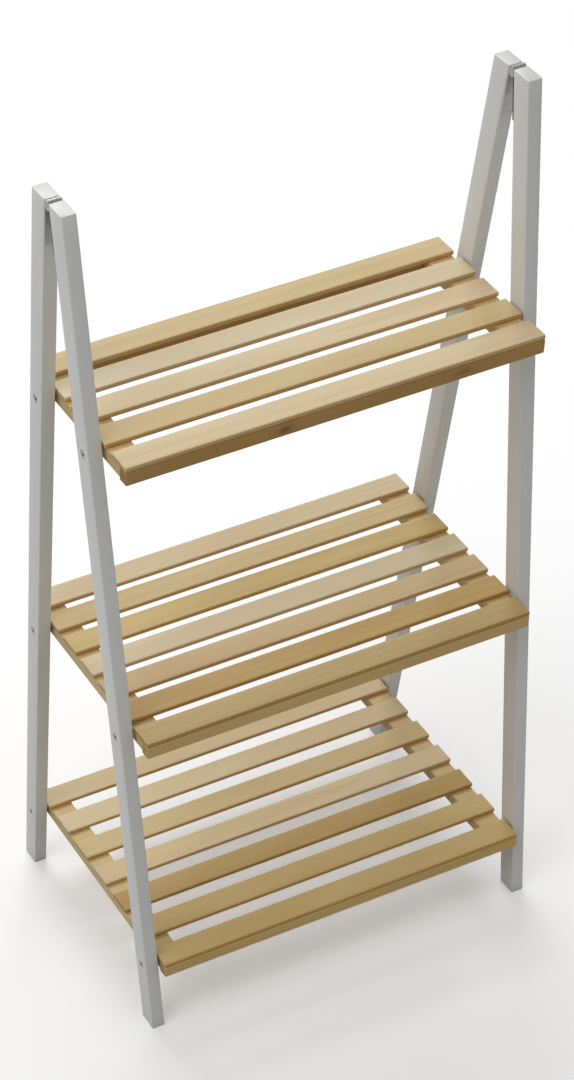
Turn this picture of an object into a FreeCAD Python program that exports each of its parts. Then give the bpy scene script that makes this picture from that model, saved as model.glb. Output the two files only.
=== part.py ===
import FreeCAD, Part
import os
import re

# Folding ladder shelf: two A-frames of painted legs, hinged at the top, and three slatted shelves.
# Frame: +Z up, X along the slats, -Y is the front. The origin is on the floor, midway between the feet.

os.makedirs("parts", exist_ok=True)
doc = FreeCAD.newDocument("ladder_shelf")

DIMENSIONS = {
    # Legs
    "overall_width": 550.0,
    "leg_height": 960.0,
    "leg_width": 17.0,
    "leg_depth": 28.5,
    "leg_tilt": 9.3,
    "leg_round": 1.5,
    "apex_gap": 10.0,
    "blank_overrun": 40.0,
    # Shelves: height of the top face, front edge, depth and number of slats of each one
    "shelf_length": 511.0,
    "top_level": 735.0,
    "top_front": -121.2,
    "top_run": 229.5,
    "top_slats": 5.0,
    "middle_level": 410.0,
    "middle_front": -156.6,
    "middle_run": 319.6,
    "middle_slats": 7.0,
    "bottom_level": 99.5,
    "bottom_front": -190.3,
    "bottom_run": 369.6,
    "bottom_slats": 7.0,
    # Laths
    "slat_width": 35.0,
    "slat_thick": 5.5,
    "slat_round": 1.2,
    "rail_height": 15.0,
    "rail_round": 1.0,
    "side_rail_width": 30.0,
    "side_rail_inset": 2.0,
    "front_rail_depth": 15.0,
    "top_back_rail_depth": 25.0,
    "middle_back_rail_depth": 15.0,
    "bottom_back_rail_depth": 15.0,
    # Dowels and panel pins
    "dowel_radius": 4.0,
    "dowel_length": 28.0,
    "dowel_offset": 21.5,
    "pin_radius": 1.0,
    "pin_length": 18.0,
    "pin_offset": 14.5,
    "pin_spread": 18.0,
    # Bolts
    "axis_drop": 13.0,
    "shank_radius": 3.0,
    "shank_length": 27.8,
    "head_radius": 4.5,
    "head_thick": 4.0,
    "head_sink": 0.7,
    "head_round": 0.8,
    "socket_radius": 2.3,
    "socket_deep": 2.2,
    "recess_radius": 5.0,
    "recess_deep": 5.0,
    "running_gap": 0.08,
    "insert_radius": 4.5,
    "insert_length": 12.0,
    "spacer_radius": 6.5,
    "spacer_thick": 4.2,
    # Slot in each side rail, open downwards and backwards, that lets the front bolt out
    "slot_radius": 3.5,
    "slot_deep": 12.0,
    "slot_length": 30.0,
    "top_slot_slope": 67.5,
    "middle_slot_slope": 62.6,
    "bottom_slot_slope": 57.8,
    # Hinges
    "axis_below_top": 4.0,
    "leaf_thick": 2.2,
    "leaf_width": 16.0,
    "leaf_length": 45.0,
    "leaf_start": 4.8,
    "knuckle_slack": 0.4,
    "knuckle_gap": 0.3,
    "pin_core_radius": 2.5,
    "screw_radius": 1.75,
    "screw_length": 14.0,
    "screw_head_radius": 3.0,
    "screw_head_deep": 1.3,
    "screw_first": 23.0,
    "screw_pitch": 13.0,
}

sheet = doc.addObject("Spreadsheet::Sheet", "dims")
for row, (alias, value) in enumerate(DIMENSIONS.items(), start=1):
    sheet.set("A%d" % row, alias)
    sheet.set("B%d" % row, str(value))
    sheet.setAlias("B%d" % row, alias)
doc.recompute()

TIERS = ("top", "middle", "bottom")
X_AXIS = FreeCAD.Vector(1, 0, 0)
Y_AXIS = FreeCAD.Vector(0, 1, 0)
parts = []


def ex(text):
    """An expression with each dimension name turned into a reference to the sheet."""
    return re.sub(r"[a-z_]+", lambda m: "dims." + m.group(0) if m.group(0) in DIMENSIONS else m.group(0), text)


def bind(item, **bindings):
    """Bind properties, with __ for the dot in a property path."""
    for path, text in bindings.items():
        item.setExpression(path.replace("__", "."), ex(text))


def place(item, at, axis=None, angle="0"):
    """Bind the position, and the angle about an axis, of an object."""
    if axis is not None:
        item.Placement = FreeCAD.Placement(FreeCAD.Vector(), FreeCAD.Rotation(axis, 1))
        bind(item, Placement__Rotation__Angle=angle)
    bind(item, Placement__Base__x=at[0], Placement__Base__y=at[1], Placement__Base__z=at[2])
    return item


def box(name, size, at, axis=None, angle="0"):
    """A box bound to the sheet."""
    item = doc.addObject("Part::Box", name)
    bind(item, Length=size[0], Width=size[1], Height=size[2])
    return place(item, at, axis, angle)


def rod(name, radius, length, at, axis=Y_AXIS, angle="90"):
    """A cylinder bound to the sheet, along +X unless another axis and angle are given."""
    item = doc.addObject("Part::Cylinder", name)
    bind(item, Radius=radius, Height=length)
    return place(item, at, axis, angle)


def fuse(name, items):
    """Several solids joined into one."""
    item = doc.addObject("Part::MultiFuse", name)
    item.Shapes = items
    return item


def group(name, items):
    """Several separate solids in one node."""
    item = doc.addObject("Part::Compound", name)
    item.Links = items
    return item


def cut(name, base, tools):
    """One solid with others taken away from it."""
    item = doc.addObject("Part::Cut", name)
    item.Base = base
    item.Tool = tools[0] if len(tools) == 1 else group(name + "_tools", tools)
    return item


def mirrored(name, source):
    """The same piece on the other side of the YZ plane."""
    item = doc.addObject("Part::Mirroring", name)
    item.Source = source
    item.Normal = X_AXIS
    return item


def rounded(name, source, radius_name, pick=lambda edge: True):
    """The source with the picked edges rounded."""
    doc.recompute()
    radius = DIMENSIONS[radius_name]
    item = doc.addObject("Part::Fillet", name)
    item.Base = source
    item.Edges = [(n, radius, radius) for n, edge in enumerate(source.Shape.Edges, start=1) if pick(edge)]
    return item


def keep(item, label):
    """Mark an object as a sub-part."""
    item.Label = label
    parts.append(item)
    return item


def direction(edge):
    """Unit vector along a straight edge."""
    return (edge.Vertexes[-1].Point - edge.Vertexes[0].Point).normalize()


def is_long(edge):
    """True for the edges that run up a leg."""
    return abs(direction(edge).z) > 0.9


def face_y(height):
    """Y of the rear leg's front face at a height."""
    return "(apex_gap/2 + (leg_height - (%s))*tan(leg_tilt))" % height


def leg_y(height):
    """Y of the rear leg's centre line at a height."""
    return "(%s + leg_depth/2/cos(leg_tilt))" % face_y(height)


def axis_z(tier):
    """Height of a shelf's bolts."""
    return "(%s_level - axis_drop)" % tier


OUTER = "(-overall_width/2)"
RAIL_X = "(-shelf_length/2 + side_rail_inset)"
HEAD_X = "(%s + head_sink)" % OUTER
SHANK_X = "(%s + head_sink + head_thick)" % OUTER


def bolt_y(tier, side):
    """Y of a shelf's bolt on the rear (+1) or front (-1) leg."""
    return "%d*%s" % (side, leg_y(axis_z(tier)))


# Legs -----------------------------------------------------------------------------------------------

def leg(name, side, bore_radius):
    """A left leg with level ends and recessed bolt holes; side is +1 at the rear, -1 at the front."""
    base_z = "(-blank_overrun)"
    near = face_y(base_z)
    start_y = near if side > 0 else "(-%s - leg_depth/cos(leg_tilt))" % near
    lift = "0" if side > 0 else "leg_depth*tan(leg_tilt)*cos(leg_tilt)"
    blank = box(name + "_blank", ("leg_width", "leg_depth", "leg_height + 3*blank_overrun"),
                (OUTER, start_y, base_z), X_AXIS, "%d*leg_tilt" % side)
    level = box(name + "_level", ("leg_width", "leg_height", "leg_height"), (OUTER, "-leg_height/2", "0"))
    trimmed = doc.addObject("Part::Common", name + "_trimmed")
    trimmed.Base = rounded(name + "_eased", blank, "leg_round", is_long)
    trimmed.Tool = level
    holes = []
    for tier in TIERS:
        y, z = bolt_y(tier, side), axis_z(tier)
        holes.append(rod("%s_%s_bore" % (name, tier), bore_radius, "leg_width", (OUTER, y, z)))
        holes.append(rod("%s_%s_recess" % (name, tier), "recess_radius", "recess_deep", (OUTER, y, z)))
    return cut(name + "_drilled", trimmed, holes)


# Hinges ---------------------------------------------------------------------------------------------

AXIS_Z = "(leg_height - axis_below_top)"
LEAF_OFFSET = "(%s*cos(leg_tilt))" % face_y(AXIS_Z)
KNUCKLE_RADIUS = "(%s - knuckle_slack)" % LEAF_OFFSET
LEAF_X = "(%s + (leg_width - leaf_width)/2)" % OUTER
THIRD = "(leaf_width/3)"


def on_leaf(side, along, out):
    """Y and Z of a point down the leg's face from the pin, and out from the pin's axis."""
    y = "%d*((%s)*cos(leg_tilt) + (%s)*sin(leg_tilt))" % (side, out, along)
    z = "(%s + (%s)*sin(leg_tilt) - (%s)*cos(leg_tilt))" % (AXIS_Z, out, along)
    return y, z


def plate(name, side, x, width, first, last):
    """A strip of leaf against the leg's face, between two distances from the pin."""
    inner = "(%s - leaf_thick)" % LEAF_OFFSET
    out = inner if side > 0 else LEAF_OFFSET
    y, z = on_leaf(side, last, out)
    return box(name, (width, "leaf_thick", "(%s) - (%s)" % (last, first)), (x, y, z), X_AXIS,
               "%d*leg_tilt" % side)


def leaf(name, side, segments, bore):
    """A hinge leaf: the plate, its knuckles and the screw holes."""
    solids = [plate(name + "_plate", side, LEAF_X, "leaf_width", "leaf_start", "leaf_length")]
    for index in segments:
        x = "(%s + %d*%s + knuckle_gap/2)" % (LEAF_X, index, THIRD)
        width = "(%s - knuckle_gap)" % THIRD
        solids.append(plate("%s_tab_%d" % (name, index), side, x, width, "0", "leaf_start + leaf_thick"))
        solids.append(rod("%s_knuckle_%d" % (name, index), KNUCKLE_RADIUS, width, (x, "0", AXIS_Z)))
    body = fuse(name + "_body", solids)
    core = rod(name + "_core", bore, "leaf_width", (LEAF_X, "0", AXIS_Z))
    return cut(name + "_drilled", body, [core, leaf_screws(name + "_screw_holes", side)])


def leaf_screws(name, side):
    """The two countersunk screws of one left leaf."""
    screws = []
    for index in range(2):
        along = "screw_first + %d*screw_pitch" % index
        y, z = on_leaf(side, along, "(%s - leaf_thick)" % LEAF_OFFSET)
        x = "(%s + leg_width/2)" % OUTER
        turn = "-90 + leg_tilt" if side > 0 else "90 - leg_tilt"
        head = doc.addObject("Part::Cone", "%s_head_%d" % (name, index))
        bind(head, Radius1="screw_head_radius", Radius2="screw_radius", Height="screw_head_deep")
        place(head, (x, y, z), X_AXIS, turn)
        shank = rod("%s_shank_%d" % (name, index), "screw_radius", "screw_length", (x, y, z), X_AXIS, turn)
        screws.append(fuse("%s_%d" % (name, index), [head, shank]))
    return group(name, screws)


# Bolts ----------------------------------------------------------------------------------------------

def bolt(name, tier, side):
    """A left socket-head bolt along +X."""
    y, z = bolt_y(tier, side), axis_z(tier)
    head = rod(name + "_head", "head_radius", "head_thick", (HEAD_X, y, z))
    eased = rounded(name + "_eased", head, "head_round", lambda edge: edge.BoundBox.XMax < outer_limit())
    shank = rod(name + "_shank", "shank_radius", "shank_length", (SHANK_X, y, z))
    solid = fuse(name + "_solid", [eased, shank])
    socket = doc.addObject("Part::Prism", name + "_socket")
    socket.Polygon = 6
    bind(socket, Circumradius="socket_radius", Height="socket_deep")
    place(socket, (HEAD_X, y, z), Y_AXIS, "90")
    return cut(name + "_body", solid, [socket])


def outer_limit():
    """X between the two faces of a left bolt's head."""
    return -DIMENSIONS["overall_width"] / 2 + DIMENSIONS["head_sink"] + DIMENSIONS["head_thick"] / 2


def pair(name, source):
    """A left piece and its mirror image in one node."""
    return group(name, [source, mirrored(name + "_mirrored", source)])


# Shelves --------------------------------------------------------------------------------------------

def slat_y(tier, index):
    """Front edge of a slat, counted from the rear."""
    step = "((%s_run - slat_width)/(%s_slats - 1))" % (tier, tier)
    return "(%s_front + %s_run - slat_width - %d*%s)" % (tier, tier, index, step)


def panel_pins(tier):
    """Every panel pin of a shelf, driven up through the side rails into the slats."""
    pins = []
    for index in range(int(DIMENSIONS[tier + "_slats"])):
        for place_index, shift in enumerate(("-pin_spread/2", "pin_spread/2")):
            y = "(%s + slat_width/2 + %s)" % (slat_y(tier, index), shift)
            z = "(%s_level - slat_thick - rail_height)" % tier
            for hand, x in (("left", "(%s + pin_offset)" % RAIL_X), ("right", "(-%s - pin_offset)" % RAIL_X)):
                pins.append(rod("%s_pin_%s_%d_%d" % (tier, hand, index, place_index), "pin_radius",
                                "pin_length", (x, y, z), X_AXIS, "0"))
    return group(tier + "_pins", pins)


def dowels(tier):
    """Front dowels along Y and back dowels along X, left and right."""
    z = "(%s_level - slat_thick - rail_height/2)" % tier
    back = "(%s_front + %s_run - %s_back_rail_depth/2)" % (tier, tier, tier)
    front_y = "(%s_front + front_rail_depth + dowel_length/2)" % tier
    front = rod(tier + "_front_dowel", "dowel_radius", "dowel_length",
                ("(%s + dowel_offset)" % RAIL_X, front_y, z), X_AXIS, "90")
    rear = rod(tier + "_back_dowel", "dowel_radius", "dowel_length",
               ("(%s + side_rail_width - dowel_length/2)" % RAIL_X, back, z))
    return pair(tier + "_dowels", group(tier + "_left_dowels", [front, rear]))


def side_rail(tier, pins, pegs):
    """A left side rail with its blind insert hole, slot, dowel holes and pin holes."""
    name = tier + "_side_rail"
    z = "(%s_level - slat_thick - rail_height)" % tier
    blank = box(name + "_blank", ("side_rail_width", "%s_run - front_rail_depth" % tier, "rail_height"),
                (RAIL_X, "%s_front + front_rail_depth" % tier, z))
    eased = rounded(name + "_eased", blank, "rail_round", lambda edge: abs(direction(edge).y) > 0.9)
    socket = rod(name + "_socket", "insert_radius", "insert_length",
                 (RAIL_X, bolt_y(tier, 1), axis_z(tier)))
    end = rod(name + "_slot_end", "slot_radius", "slot_deep", (RAIL_X, bolt_y(tier, -1), axis_z(tier)))
    run = slot_run(name, tier)
    return cut(name + "_body", eased, [socket, end, run, pins, pegs])


def slot_run(name, tier):
    """The straight part of a slot, from the bolt down and back."""
    slope = "%s_slot_slope" % tier
    y = "(%s + slot_radius*sin(%s))" % (bolt_y(tier, -1), slope)
    z = "(%s + slot_radius*cos(%s))" % (axis_z(tier), slope)
    return box(name + "_slot_run", ("slot_deep", "slot_length", "2*slot_radius"),
               (RAIL_X, "(%s - 2*slot_radius*sin(%s))" % (y, slope), "(%s - 2*slot_radius*cos(%s))" % (z, slope)),
               X_AXIS, "-%s" % slope)


def cross_rail(name, size_y, x, length, y, tier, tools):
    """A rail that runs along X under the slats."""
    blank = box(name + "_blank", (length, size_y, "rail_height"),
                (x, y, "(%s_level - slat_thick - rail_height)" % tier))
    eased = rounded(name + "_eased", blank, "rail_round", lambda edge: abs(direction(edge).x) > 0.9)
    return cut(name + "_body", eased, tools)


def sleeve(name, tier, radius, length, x):
    """A left tube on a rear bolt's shank."""
    y, z = bolt_y(tier, 1), axis_z(tier)
    solid = rod(name + "_solid", radius, length, (x, y, z))
    hole = rod(name + "_hole", "shank_radius", length, (x, y, z))
    return cut(name + "_body", solid, [hole])


def shelf(tier):
    """One shelf with everything that turns with it."""
    pins = panel_pins(tier)
    pegs = dowels(tier)
    for index in range(int(DIMENSIONS[tier + "_slats"])):
        name = "%s_slat_%d" % (tier, index + 1)
        blank = box(name + "_blank", ("shelf_length", "slat_width", "slat_thick"),
                    ("-shelf_length/2", slat_y(tier, index), "%s_level - slat_thick" % tier))
        eased = rounded(name + "_eased", blank, "slat_round")
        keep(cut(name + "_body", eased, [pins]), name)
    left = keep(side_rail(tier, pins, pegs), tier + "_side_rail_left")
    keep(mirrored(tier + "_side_rail_mirror", left), tier + "_side_rail_right")
    keep(cross_rail(tier + "_front_rail", "front_rail_depth", "-shelf_length/2", "shelf_length",
                    tier + "_front", tier, [pins, pegs]), tier + "_front_rail")
    inner = "(%s + side_rail_width)" % RAIL_X
    depth = tier + "_back_rail_depth"
    keep(cross_rail(tier + "_back_rail", depth, inner, "-2*%s" % inner,
                    "%s_front + %s_run - %s" % (tier, tier, depth), tier, [pegs]), tier + "_back_rail")
    keep(pins, tier + "_panel_pins")
    keep(pegs, tier + "_dowels")
    keep(pair(tier + "_pivot_bolt_pair", bolt(tier + "_pivot_bolt", tier, 1)), tier + "_pivot_bolts")
    insert = sleeve(tier + "_insert", tier, "insert_radius", "insert_length", RAIL_X)
    keep(pair(tier + "_insert_pair", insert), tier + "_threaded_inserts")
    spacer = sleeve(tier + "_spacer", tier, "spacer_radius", "spacer_thick", "(%s - spacer_thick)" % RAIL_X)
    keep(pair(tier + "_spacer_pair", spacer), tier + "_pivot_spacers")


def frames():
    """Legs, hinges and front bolts."""
    names = {1: "rear", -1: "front"}
    bores = {1: "shank_radius + running_gap", -1: "shank_radius"}
    knuckles = {1: (0, 2), -1: (1,)}
    cores = {1: "pin_core_radius", -1: "pin_core_radius + running_gap"}
    for side, name in names.items():
        screws = leaf_screws(name + "_leaf_screws_left", side)
        left = keep(cut(name + "_leg", leg(name, side, bores[side]), [screws]), name + "_leg_left")
        keep(mirrored(name + "_leg_mirror", left), name + "_leg_right")
        plate_left = keep(leaf(name + "_leaf", side, knuckles[side], cores[side]), name + "_hinge_leaf_left")
        keep(mirrored(name + "_leaf_mirror", plate_left), name + "_hinge_leaf_right")
        keep(pair(name + "_screw_pair", screws), name + "_hinge_screws")
    pin = keep(rod("hinge_pin", "pin_core_radius", "leaf_width", (LEAF_X, "0", AXIS_Z)), "hinge_pin_left")
    keep(mirrored("hinge_pin_mirror", pin), "hinge_pin_right")
    bolts = [pair("%s_front_bolt_pair" % tier, bolt("%s_front_bolt" % tier, tier, -1)) for tier in TIERS]
    keep(group("front_bolts", bolts), "front_support_bolts")


def check_and_write():
    """Stop on any bad object, then write one file for each sub-part."""
    doc.recompute()
    bad = [item.Name for item in doc.Objects if {"Invalid", "Error"} & set(item.State)]
    if bad:
        raise RuntimeError("invalid objects: %s" % bad)
    for item in parts:
        shape = item.Shape
        if shape.isNull() or not shape.isValid():
            raise RuntimeError("bad shape: " + item.Label)
        shape.exportStep("parts/%s.step" % item.Label)
        print(item.Label, len(shape.Solids), round(shape.Volume), shape.BoundBox)


frames()
for tier_name in TIERS:
    shelf(tier_name)
check_and_write()
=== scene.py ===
import math
import random

import bmesh
import bpy
from mathutils import Matrix, Vector, noise

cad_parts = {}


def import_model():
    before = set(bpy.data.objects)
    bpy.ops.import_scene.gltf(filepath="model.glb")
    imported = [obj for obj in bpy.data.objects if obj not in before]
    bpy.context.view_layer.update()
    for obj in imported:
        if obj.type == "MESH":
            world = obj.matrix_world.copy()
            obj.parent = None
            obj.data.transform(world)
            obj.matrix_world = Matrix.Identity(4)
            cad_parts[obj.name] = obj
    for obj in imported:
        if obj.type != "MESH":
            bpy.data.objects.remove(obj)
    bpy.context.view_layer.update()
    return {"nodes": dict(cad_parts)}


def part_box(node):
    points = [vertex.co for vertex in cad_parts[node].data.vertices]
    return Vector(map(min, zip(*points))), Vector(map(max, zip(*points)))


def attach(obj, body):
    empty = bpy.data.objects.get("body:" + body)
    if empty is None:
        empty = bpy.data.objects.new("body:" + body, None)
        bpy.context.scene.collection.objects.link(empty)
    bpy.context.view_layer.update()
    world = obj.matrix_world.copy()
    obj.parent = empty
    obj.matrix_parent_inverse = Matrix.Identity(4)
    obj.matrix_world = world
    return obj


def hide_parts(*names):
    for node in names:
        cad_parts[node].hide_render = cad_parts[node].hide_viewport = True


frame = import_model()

MM = 0.001

# Camera: where it stands, where it looks, and the framing.
CAMERA_PLACE = (-1.2305, -2.1820, 2.2068)
CAMERA_YAW = -24.16
CAMERA_PITCH = -56.19
CAMERA_ROLL = 2.80
SENSOR_HEIGHT = 36.0
LENS = 80.01
FRAMING_SHIFT = (0.1440, 0.8943)

# Floor: half its width, its glow to the camera near the object, and where it fades to white
FLOOR_REACH = 6.0
FLOOR_GLOW = 0.22
FLOOR_FADE = (0.50, 1.25)

# Shape of the laths and legs
SLAT_SOFTNESS = 1.7 * MM
RAIL_SOFTNESS = 1.3 * MM
LEG_SOFTNESS = 1.2 * MM
LEG_END_SOFTNESS = 0.4 * MM
HAND_WAVE = 0.12 * MM
LEG_TILT = math.radians(9.3)
LEG_DEPTH = 28.5 * MM
RECESS_RADIUS = 5.0 * MM
RECESS_DEEP = 5.0 * MM
BORE_RADIUS = 3.2 * MM
HINGE_AXIS = (0.0, 0.0, 0.956)
KNUCKLE_REACH = 5.3 * MM

# Wood tones: pale part of the ring, dark part of the ring
PALE = ((0.78, 0.66, 0.44), (0.66, 0.50, 0.28))
CREAM = ((0.80, 0.65, 0.40), (0.66, 0.48, 0.24))
GOLDEN = ((0.74, 0.58, 0.30), (0.60, 0.42, 0.18))
HONEY = ((0.72, 0.54, 0.23), (0.58, 0.38, 0.13))
PINKISH = ((0.71, 0.54, 0.29), (0.57, 0.38, 0.19))
TAN = ((0.60, 0.45, 0.20), (0.49, 0.32, 0.12))
BROWNER = ((0.61, 0.42, 0.15), (0.48, 0.29, 0.09))
SLAT_TONES = {
    "top": (GOLDEN, PALE, CREAM, GOLDEN, CREAM),
    "middle": (CREAM, GOLDEN, HONEY, PALE, PINKISH, BROWNER, TAN),
    "bottom": (CREAM, CREAM, GOLDEN, CREAM, BROWNER, HONEY, HONEY),
}
SIDE_RAIL_TONE = ((0.76, 0.58, 0.29), (0.62, 0.43, 0.17))
# Painted shade: a darker, warmer colour laid on the slats' front and back faces, standing in for the shade on those
# faces
SLAT_FACE_PAINTED_SHADE = (0.88, 0.72, 0.52)
RAIL_TONES = {
    "top": ((0.53, 0.32, 0.10), (0.42, 0.23, 0.06)),
    "middle": ((0.78, 0.55, 0.23), (0.63, 0.41, 0.14)),
    "bottom": ((0.78, 0.55, 0.22), (0.63, 0.41, 0.13)),
}
TIERS = ("top", "middle", "bottom")


# Meshes ----------------------------------------------------------------------------------------------

def add_mesh(name, verts, faces, smooth=True):
    mesh = bpy.data.meshes.new(name)
    mesh.from_pydata(verts, [], faces)
    mesh.validate()
    mesh.update()
    if smooth:
        for face in mesh.polygons:
            face.use_smooth = True
    item = bpy.data.objects.new(name, mesh)
    bpy.context.scene.collection.objects.link(item)
    return item


def stations(low, high, radius, inner, steps=4):
    """Places along one edge of a box: close together where it rounds, even between."""
    curve = [radius * (1 - math.cos(math.radians(90 * k / steps))) for k in range(steps)]
    near = [low + c for c in curve] + [low + radius]
    far = [high - c for c in reversed(curve)]
    middle = [low + radius + (high - low - 2 * radius) * (k + 1) / (inner + 1) for k in range(inner)]
    return near + middle + [high - radius] + far


def soft_box(name, low, high, radius, inner, seed, wave=HAND_WAVE):
    """A lath: every edge and corner rounded, faces a little uneven, never outside its box."""
    sides = [stations(low[k], high[k], radius, inner[k]) for k in range(3)]
    core_low = [low[k] + radius for k in range(3)]
    core_high = [high[k] - radius for k in range(3)]
    index = {}
    verts = []
    faces = []

    def vertex(i, j, k):
        key = (i, j, k)
        if key not in index:
            p = Vector((sides[0][i], sides[1][j], sides[2][k]))
            nearest = Vector([min(max(p[n], core_low[n]), core_high[n]) for n in range(3)])
            out = (p - nearest)
            out = out.normalized() if out.length > 1e-9 else out
            dip = wave * (0.5 + 0.5 * noise.noise(Vector((p.x * 9 + seed, p.y * 60, p.z * 60 + seed))))
            index[key] = len(verts)
            verts.append(nearest + out * (radius - dip))
        return index[key]

    count = [len(s) for s in sides]
    for axis in range(3):
        a, b = (axis + 1) % 3, (axis + 2) % 3
        for end in (0, count[axis] - 1):
            for i in range(count[a] - 1):
                for j in range(count[b] - 1):
                    corners = []
                    for di, dj in ((0, 0), (1, 0), (1, 1), (0, 1)):
                        spot = [0, 0, 0]
                        spot[axis], spot[a], spot[b] = end, i + di, j + dj
                        corners.append(vertex(*spot))
                    faces.append(corners if end else corners[::-1])
    return add_mesh(name, verts, faces)


def leg_piece(name, node, side, seed):
    """A leg: a rounded section swept along the tilt, cut level at both ends with eased rims."""
    low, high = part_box(node)
    width = high[0] - low[0]
    along = Vector((0, -side * math.sin(LEG_TILT), math.cos(LEG_TILT)))
    across = Vector((0, side * math.cos(LEG_TILT), math.sin(LEG_TILT)))
    foot_y = high[1] - LEG_DEPTH / 2 / math.cos(LEG_TILT) if side > 0 else \
        low[1] + LEG_DEPTH / 2 / math.cos(LEG_TILT)
    centre = Vector(((low[0] + high[0]) / 2, foot_y, 0))
    profile = []
    for cx, cy, start in ((1, 1, 0), (-1, 1, 90), (-1, -1, 180), (1, -1, 270)):
        for step in range(6):
            turn = math.radians(start + 90 * step / 5)
            profile.append((cx * (width / 2 - LEG_SOFTNESS) + LEG_SOFTNESS * math.cos(turn),
                            cy * (LEG_DEPTH / 2 - LEG_SOFTNESS) + LEG_SOFTNESS * math.sin(turn)))
    levels = [(0.0, LEG_END_SOFTNESS), (0.3 * LEG_END_SOFTNESS, 0.3 * LEG_END_SOFTNESS), (LEG_END_SOFTNESS, 0.0)]
    top = high[2]
    rings = [(z, inset) for z, inset in levels]
    body = 60
    rings += [(LEG_END_SOFTNESS + (top - 2 * LEG_END_SOFTNESS) * k / body, 0.0) for k in range(1, body)]
    rings += [(top - z, inset) for z, inset in reversed(levels)]
    verts = []
    for z, inset in rings:
        for u, v in profile:
            shrink = Vector((u * (1 - inset / (width / 2)), v * (1 - inset / (LEG_DEPTH / 2))))
            p = centre + Vector((shrink.x, 0, 0)) + across * shrink.y
            p = p + along * ((z - p.z) / along.z)
            verts.append(p)
    size = len(profile)
    faces = []
    for r in range(len(rings) - 1):
        for k in range(size):
            n = (k + 1) % size
            faces.append((r * size + k, r * size + n, (r + 1) * size + n, (r + 1) * size + k))
    faces.append(tuple(range(size))[::-1])
    faces.append(tuple((len(rings) - 1) * size + k for k in range(size)))
    item = add_mesh(name, verts, faces)
    orient(item)
    return item


def orient(item):
    """Face normals outwards."""
    work = bmesh.new()
    work.from_mesh(item.data)
    bmesh.ops.recalc_face_normals(work, faces=work.faces)
    work.to_mesh(item.data)
    work.free()


def turned(name, outline, at, direction):
    """A solid of revolution: outline is (distance along, radius) pairs."""
    count = 40
    verts = []
    for distance, radius in outline:
        for k in range(count):
            a = 2 * math.pi * k / count
            verts.append(Vector((distance, radius * math.cos(a), radius * math.sin(a))))
    faces = []
    for r in range(len(outline) - 1):
        for k in range(count):
            n = (k + 1) % count
            faces.append((r * count + k, r * count + n, (r + 1) * count + n, (r + 1) * count + k))
    faces.append(tuple(range(count)))
    faces.append(tuple((len(outline) - 1) * count + k for k in range(count)))
    item = add_mesh(name, verts, faces, smooth=False)
    item.data.transform(Matrix.Translation(at) @ Vector((1, 0, 0)).rotation_difference(direction).to_matrix().to_4x4())
    orient(item)
    return item


def cut_with(item, tools):
    """Take the tools away from the piece and drop them."""
    for tool in tools:
        change = item.modifiers.new("cut", "BOOLEAN")
        change.operation = "DIFFERENCE"
        change.solver = "EXACT"
        change.object = tool
    bpy.context.view_layer.update()
    made = bpy.data.meshes.new_from_object(item.evaluated_get(bpy.context.evaluated_depsgraph_get()))
    item.modifiers.clear()
    item.data = made
    for tool in tools:
        bpy.data.objects.remove(tool)
    made.update()
    made.set_sharp_from_angle(angle=math.radians(35))


# Materials -------------------------------------------------------------------------------------------

class Nodes:
    """Short ways to build a node material."""

    def __init__(self, name):
        self.material = bpy.data.materials.new(name)
        self.material.use_nodes = True
        self.tree = self.material.node_tree
        self.shader = self.tree.nodes["Principled BSDF"]

    def add(self, kind, **values):
        node = self.tree.nodes.new(kind)
        for key, value in values.items():
            setattr(node, key, value)
        return node

    def link(self, source, target):
        self.tree.links.new(source, target)

    def mapped(self, scale, place=(0, 0, 0), turn=(0, 0, 0), source=None):
        node = self.add("ShaderNodeMapping")
        node.inputs["Location"].default_value = place
        node.inputs["Rotation"].default_value = turn
        node.inputs["Scale"].default_value = scale
        self.link(source or self.coordinates(), node.inputs["Vector"])
        return node.outputs["Vector"]

    def coordinates(self, output="Object"):
        return self.add("ShaderNodeTexCoord").outputs[output]

    def noise(self, vector, scale=1.0, detail=3.0, rough=0.5):
        node = self.add("ShaderNodeTexNoise")
        node.inputs["Scale"].default_value = scale
        node.inputs["Detail"].default_value = detail
        node.inputs["Roughness"].default_value = rough
        self.link(vector, node.inputs["Vector"])
        return node.outputs["Fac"]

    def math(self, operation, a, b=None, clamp=False):
        node = self.add("ShaderNodeMath", operation=operation, use_clamp=clamp)
        for socket, value in zip(node.inputs, (a, b)):
            if value is None:
                continue
            if isinstance(value, (int, float)):
                socket.default_value = value
            else:
                self.link(value, socket)
        return node.outputs[0]

    def span(self, value, from_low, from_high, low, high):
        node = self.add("ShaderNodeMapRange")
        node.inputs["From Min"].default_value = from_low
        node.inputs["From Max"].default_value = from_high
        node.inputs["To Min"].default_value = low
        node.inputs["To Max"].default_value = high
        self.link(value, node.inputs["Value"])
        return node.outputs["Result"]

    def mix(self, factor, a, b, blend="MIX"):
        node = self.add("ShaderNodeMix", data_type="RGBA", blend_type=blend)
        for socket, value in ((node.inputs[0], factor), (node.inputs[6], a), (node.inputs[7], b)):
            if isinstance(value, (int, float)):
                socket.default_value = value
            elif isinstance(value, tuple):
                socket.default_value = (*value, 1.0)
            else:
                self.link(value, socket)
        return node.outputs[2]

    def grey(self, value):
        node = self.add("ShaderNodeCombineColor")
        for socket in node.inputs:
            self.link(value, socket)
        return node.outputs[0]

    def bump(self, height, strength, distance):
        node = self.add("ShaderNodeBump")
        node.inputs["Strength"].default_value = strength
        node.inputs["Distance"].default_value = distance
        self.link(height, node.inputs["Height"])
        self.link(node.outputs["Normal"], self.shader.inputs["Normal"])


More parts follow.
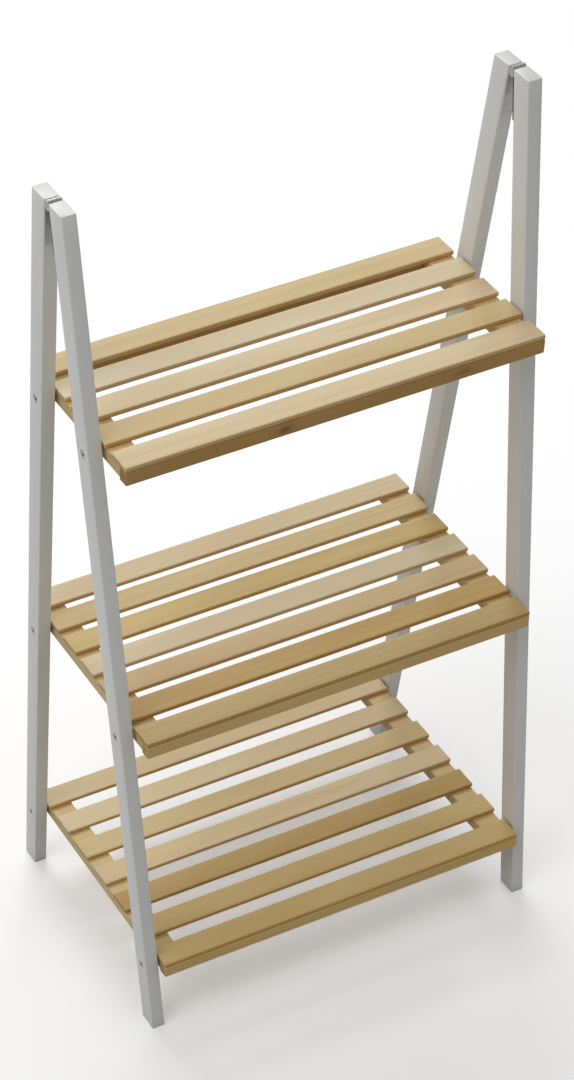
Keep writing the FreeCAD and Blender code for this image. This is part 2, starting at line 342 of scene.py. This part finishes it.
def wood(name, tone, seed, grain="X", knots=(), face_shade=None):
    """Natural wood: tilted growth rings, fibres, blotches, end grain and knots, with optional painted shade on the
    front and back faces.
    """
    pick = random.Random(seed)
    n = Nodes(name)
    turn = (0, 0, 0) if grain == "X" else (0, 0, math.radians(-90))
    flat = n.mapped((1, 1, 1), turn=turn)
    shift = (pick.uniform(-2, 2), pick.uniform(-0.014, 0.014), pick.uniform(0.010, 0.045))
    tilt = (0, math.radians(pick.uniform(-2.2, 2.2)), math.radians(pick.uniform(-1.2, 1.2)))
    ring_space = n.mapped((0.06, 1, 1), place=shift, turn=tilt, source=flat)
    masks = []
    for place, reach, _strength in knots:
        gap = n.add("ShaderNodeVectorMath", operation="SUBTRACT")
        gap.inputs[1].default_value = place
        n.link(n.coordinates(), gap.inputs[0])
        scaled = n.add("ShaderNodeVectorMath", operation="DIVIDE")
        scaled.inputs[1].default_value = reach
        n.link(gap.outputs[0], scaled.inputs[0])
        length = n.add("ShaderNodeVectorMath", operation="LENGTH")
        n.link(scaled.outputs[0], length.inputs[0])
        masks.append(length.outputs["Value"])
    for away in masks:
        swirl = n.span(away, 0.0, 3.0, 0.006, 0.0)
        move = n.add("ShaderNodeCombineXYZ")
        n.link(swirl, move.inputs[1])
        n.link(swirl, move.inputs[2])
        joined = n.add("ShaderNodeVectorMath", operation="ADD")
        n.link(ring_space, joined.inputs[0])
        n.link(move.outputs[0], joined.inputs[1])
        ring_space = joined.outputs[0]
    rings = n.add("ShaderNodeTexWave", wave_type="RINGS", rings_direction="X", wave_profile="SAW")
    rings.inputs["Scale"].default_value = pick.uniform(75, 120)
    rings.inputs["Distortion"].default_value = 2.2
    rings.inputs["Detail"].default_value = 2.0
    rings.inputs["Detail Scale"].default_value = 0.35
    n.link(ring_space, rings.inputs["Vector"])
    late = n.math("POWER", rings.outputs["Fac"], 2.4)
    fibre = n.noise(n.mapped((14, 950, 950), place=(seed, 0, 0), source=flat), detail=4, rough=0.6)
    blotch = n.noise(n.mapped((5, 26, 26), place=(seed * 3.1, 0, 0), source=flat), detail=2)
    light, dark = tone
    colour = n.mix(n.math("MULTIPLY", late, 0.38), light, dark)
    colour = n.mix(1.0, colour, n.grey(n.span(fibre, 0.3, 0.7, 0.93, 1.04)), "MULTIPLY")
    colour = n.mix(n.span(blotch, 0.35, 0.7, 0.0, 0.45), colour, dark)
    normal = n.add("ShaderNodeSeparateXYZ")
    n.link(n.coordinates("Normal"), normal.inputs[0])
    # Painted shade: faces turned to the front or back are multiplied by a darker, warmer colour, standing in for the
    # shade that falls on the slats' front and back faces
    if face_shade:
        side = n.span(n.math("ABSOLUTE", normal.outputs[1]), 0.55, 0.95, 0.0, 1.0)
        colour = n.mix(side, colour, n.mix(1.0, colour, face_shade, "MULTIPLY"))
    ends = n.math("ABSOLUTE", normal.outputs[0 if grain == "X" else 1])
    ends = n.span(ends, 0.75, 0.98, 0.0, 0.55)
    colour = n.mix(ends, colour, tuple(c * 0.55 for c in dark))
    for away, (_place, _reach, strength) in zip(masks, knots):
        core = n.span(away, 0.35, 1.0, strength, 0.0)
        halo = n.span(away, 0.9, 2.4, strength * 0.35, 0.0)
        colour = n.mix(halo, colour, tuple(c * 0.62 for c in dark))
        colour = n.mix(core, colour, (0.17, 0.085, 0.030))
    n.link(colour, n.shader.inputs["Base Color"])
    n.link(n.span(fibre, 0.3, 0.7, 0.46, 0.60), n.shader.inputs["Roughness"])
    n.shader.inputs["Specular IOR Level"].default_value = 0.28
    height = n.math("ADD", n.math("MULTIPLY", fibre, 0.5), n.math("MULTIPLY", late, 0.35))
    n.bump(height, 0.30, 0.00012)
    return n.material


def paint(name, seed):
    """White satin paint over wood: brush drag along the leg, faint grain and orange peel."""
    n = Nodes(name)
    drag = n.noise(n.mapped((420, 420, 9), place=(seed, 0, 0)), detail=3)
    peel = n.noise(n.mapped((260, 260, 260), place=(0, seed, 0)), detail=2)
    cloud = n.noise(n.mapped((14, 14, 5), place=(0, 0, seed)), detail=2)
    colour = n.mix(n.span(cloud, 0.35, 0.7, 0.0, 1.0), (0.800, 0.800, 0.782), (0.770, 0.770, 0.748))
    n.link(colour, n.shader.inputs["Base Color"])
    n.link(n.span(drag, 0.3, 0.7, 0.36, 0.46), n.shader.inputs["Roughness"])
    height = n.math("ADD", n.math("MULTIPLY", drag, 0.7), n.math("MULTIPLY", peel, 0.3))
    n.bump(height, 0.22, 0.00010)
    return n.material


def metal(name, colour, low, high, stretch, dark=None, shine=1.0):
    """Plated or solid metal with fine scratches. dark is (axis, radius, colour): painted shade, darker beyond that
    radius.
    """
    n = Nodes(name)
    scratch = n.noise(n.mapped(stretch), detail=4, rough=0.65)
    stain = n.noise(n.mapped((90, 90, 90)), detail=2)
    shade = n.mix(n.span(stain, 0.35, 0.75, 0.0, 1.0), colour, tuple(c * 0.86 for c in colour))
    # Painted shade: beyond the radius from the axis the colour turns to the given dark colour, standing in for the
    # shadowed gap behind a hinge leaf
    if dark:
        axis, radius, painted_shade_colour = dark
        away = n.add("ShaderNodeVectorMath", operation="LENGTH")
        n.link(n.mapped((0, 1, 1), place=(0, -axis[1], -axis[2])), away.inputs[0])
        far = n.span(away.outputs["Value"], radius - 0.1 * MM, radius + 0.1 * MM, 0.0, 1.0)
        shade = n.mix(far, shade, painted_shade_colour)
    n.link(shade, n.shader.inputs["Base Color"])
    n.link(n.span(scratch, 0.3, 0.7, low, high), n.shader.inputs["Roughness"])
    n.shader.inputs["Metallic"].default_value = shine
    n.bump(scratch, 0.15, 0.00003)
    return n.material


def nylon(name):
    n = Nodes(name)
    grit = n.noise(n.mapped((900, 900, 900)), detail=3)
    n.link(n.mix(grit, (0.055, 0.055, 0.055), (0.09, 0.09, 0.088)), n.shader.inputs["Base Color"])
    n.link(n.span(grit, 0.3, 0.7, 0.42, 0.58), n.shader.inputs["Roughness"])
    n.bump(grit, 0.2, 0.00005)
    return n.material


def give(item, material):
    item.data.materials.clear()
    item.data.materials.append(material)


# Pieces ----------------------------------------------------------------------------------------------

def shrunk(node):
    low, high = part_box(node)
    return Vector(low), Vector(high)


def settle(item, node, body, material):
    give(item, material)
    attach(item, body)
    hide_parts(node)


def knot_on(node, along, rise, out, reach, strength):
    """A knot on a lath's front face: along its length, up its height, and its size."""
    low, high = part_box(node)
    place = (low[0] + along * (high[0] - low[0]), low[1] + out, low[2] + rise * (high[2] - low[2]))
    return (place, reach, strength)


def build_shelf(tier, order):
    body = tier + "_shelf"
    for index, tone in enumerate(SLAT_TONES[tier]):
        node = "%s_slat_%d" % (tier, index + 1)
        low, high = shrunk(node)
        seed = order * 20 + index + 1
        piece = soft_box(node + "_lath", low, high, SLAT_SOFTNESS, (90, 8, 1), seed)
        settle(piece, node, body, wood("wood_" + node, tone, seed, face_shade=SLAT_FACE_PAINTED_SHADE))
    for kind in ("front_rail", "back_rail"):
        node = "%s_%s" % (tier, kind)
        low, high = shrunk(node)
        seed = order * 20 + (12 if kind == "front_rail" else 13)
        knots = ()
        if node == "top_front_rail":
            knots = (knot_on(node, 0.37, 0.45, 0.0, (0.010, 0.012, 0.0050), 0.75),
                     knot_on(node, 0.80, 0.55, 0.0, (0.014, 0.012, 0.0045), 0.40))
        piece = soft_box(node + "_lath", low, high, RAIL_SOFTNESS, (90, 4, 4), seed)
        settle(piece, node, body, wood("wood_" + node, RAIL_TONES[tier], seed, knots=knots))
    for hand in ("left", "right"):
        node = "%s_side_rail_%s" % (tier, hand)
        seed = order * 20 + (14 if hand == "left" else 15)
        give(frame["nodes"][node], wood("wood_" + node, SIDE_RAIL_TONE, seed, grain="Y"))


def build_legs():
    for side, name in ((1, "rear"), (-1, "front")):
        for hand in ("left", "right"):
            node = "%s_leg_%s" % (name, hand)
            seed = 3 + side + (5 if hand == "left" else 11)
            piece = leg_piece(node + "_painted", node, side, seed)
            low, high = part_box(node)
            out = 1 if hand == "left" else -1
            outer = low[0] if hand == "left" else high[0]
            tools = []
            for tier in TIERS:
                pins = "%s_pivot_bolts" % tier
                bolt_low, bolt_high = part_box(pins)
                y = side * abs(bolt_low[1] + bolt_high[1]) / 2
                z = (bolt_low[2] + bolt_high[2]) / 2
                outline = [(-0.001, RECESS_RADIUS + 0.0014), (0.0004, RECESS_RADIUS), (RECESS_DEEP, RECESS_RADIUS),
                           (RECESS_DEEP + 1e-5, BORE_RADIUS), (0.02, BORE_RADIUS)]
                tools.append(turned("tool", outline, Vector((outer, y, z)), Vector((out, 0, 0))))
            cut_with(piece, tools)
            settle(piece, node, name + "_frame", paint("paint_" + node, seed))


build_legs()
for order, tier in enumerate(TIERS):
    build_shelf(tier, order)

ZINC = metal("zinc_plated", (0.46, 0.46, 0.455), 0.42, 0.55, (60, 700, 60), shine=0.75)
# Painted shade: the front hinge leaf is nearly black beyond the knuckle, standing in for the dark gap between the leaf
# and the front leg
FRONT_LEAF_PAINTED_SHADE = metal("front_leaf_painted_shade", (0.46, 0.46, 0.455), 0.42, 0.55, (60, 700, 60),
                  dark=(HINGE_AXIS, KNUCKLE_REACH, (0.030, 0.030, 0.030)), shine=0.75)
BOLT_STEEL = metal("bolt_steel", (0.46, 0.46, 0.47), 0.30, 0.50, (700, 120, 120))
BRASS = metal("insert_brass", (0.72, 0.54, 0.25), 0.30, 0.45, (900, 60, 60))
BEECH = wood("wood_dowels", PINKISH, 77)
NYLON = nylon("spacer_nylon")
for node, item in frame["nodes"].items():
    if "leaf" in node or "hinge" in node:
        give(item, FRONT_LEAF_PAINTED_SHADE if node.startswith("front_hinge_leaf") else ZINC)
        if "leaf" in node:
            ease = item.modifiers.new("ease", "BEVEL")
            ease.width = 0.00018
            ease.segments = 2
            ease.limit_method = "ANGLE"
            ease.angle_limit = math.radians(50)
    elif "bolts" in node:
        give(item, BOLT_STEEL)
    elif "panel_pins" in node:
        give(item, ZINC)
    elif "inserts" in node:
        give(item, BRASS)
    elif "dowels" in node:
        give(item, BEECH)
    elif "spacers" in node:
        give(item, NYLON)


# Floor, light and camera -----------------------------------------------------------------------------

def floor():
    """A pale floor. Near the object it shows the shadow; farther out it fades to plain white."""
    verts = [(-FLOOR_REACH, -FLOOR_REACH, 0), (FLOOR_REACH, -FLOOR_REACH, 0),
             (FLOOR_REACH, FLOOR_REACH, 0), (-FLOOR_REACH, FLOOR_REACH, 0)]
    item = add_mesh("floor", verts, [(0, 1, 2, 3)], smooth=False)
    n = Nodes("floor_pale")
    n.tree.nodes.remove(n.shader)
    rays = n.add("ShaderNodeLightPath")
    real = n.add("ShaderNodeBsdfDiffuse")
    real.inputs["Color"].default_value = (0.42, 0.42, 0.41, 1)
    seen = n.add("ShaderNodeBsdfDiffuse")
    seen.inputs["Color"].default_value = (0.95, 0.95, 0.95, 1)
    glow = n.add("ShaderNodeEmission")
    glow.inputs["Strength"].default_value = FLOOR_GLOW
    white = n.add("ShaderNodeEmission")
    white.inputs["Strength"].default_value = 1.0
    near = n.add("ShaderNodeAddShader")
    n.link(seen.outputs[0], near.inputs[0])
    n.link(glow.outputs[0], near.inputs[1])
    away = n.add("ShaderNodeVectorMath", operation="LENGTH")
    n.link(n.coordinates(), away.inputs[0])
    fade = n.add("ShaderNodeMixShader")
    n.link(n.span(away.outputs["Value"], *FLOOR_FADE, 0.0, 1.0), fade.inputs[0])
    n.link(near.outputs[0], fade.inputs[1])
    n.link(white.outputs[0], fade.inputs[2])
    shiny = n.math("MAXIMUM", rays.outputs["Is Glossy Ray"], rays.outputs["Is Transmission Ray"])
    choose = n.math("MAXIMUM", rays.outputs["Is Camera Ray"], shiny)
    mix = n.add("ShaderNodeMixShader")
    n.link(choose, mix.inputs[0])
    n.link(real.outputs[0], mix.inputs[1])
    n.link(fade.outputs[0], mix.inputs[2])
    n.link(mix.outputs[0], n.tree.nodes["Material Output"].inputs["Surface"])
    give(item, n.material)


def lamp(name, place, target, size, power):
    data = bpy.data.lights.new(name, "AREA")
    data.shape = "RECTANGLE"
    data.size, data.size_y = size
    data.energy = power
    item = bpy.data.objects.new(name, data)
    item.location = place
    aim = Vector(target) - Vector(place)
    item.rotation_euler = aim.to_track_quat("-Z", "Y").to_euler()
    bpy.context.scene.collection.objects.link(item)


def world():
    made = bpy.data.worlds.new("studio")
    bpy.context.scene.world = made
    made.use_nodes = True
    tree = made.node_tree
    plain = tree.nodes["Background"]
    plain.inputs["Color"].default_value = (1.0, 1.0, 1.0, 1)
    plain.inputs["Strength"].default_value = 0.39
    white = tree.nodes.new("ShaderNodeBackground")
    white.inputs["Strength"].default_value = 1.0
    white.inputs["Color"].default_value = (1, 1, 1, 1)
    rays = tree.nodes.new("ShaderNodeLightPath")
    mix = tree.nodes.new("ShaderNodeMixShader")
    tree.links.new(rays.outputs["Is Camera Ray"], mix.inputs[0])
    tree.links.new(plain.outputs[0], mix.inputs[1])
    tree.links.new(white.outputs[0], mix.inputs[2])
    tree.links.new(mix.outputs[0], tree.nodes["World Output"].inputs["Surface"])


def camera():
    data = bpy.data.cameras.new("camera")
    data.sensor_fit = "VERTICAL"
    data.sensor_height = SENSOR_HEIGHT
    data.lens = LENS
    data.shift_x, data.shift_y = FRAMING_SHIFT
    data.clip_end = 50
    item = bpy.data.objects.new("camera", data)
    turn = (Matrix.Rotation(math.radians(CAMERA_YAW), 4, "Z") @ Matrix.Rotation(math.radians(CAMERA_PITCH), 4, "X")
            @ Matrix.Rotation(math.radians(CAMERA_ROLL), 4, "Y") @ Matrix.Rotation(math.radians(90), 4, "X"))
    item.matrix_world = Matrix.Translation(CAMERA_PLACE) @ turn
    bpy.context.scene.collection.objects.link(item)
    bpy.context.scene.camera = item


floor()
world()
lamp("left", (-2.2, -0.6, 2.9), (0, 0, 0.4), (2.0, 2.0), 24)
lamp("back", (0.5, 2.7, 2.9), (0, 0, 0.4), (2.6, 1.6), 62)
camera()
bpy.context.scene.view_settings.view_transform = "Standard"
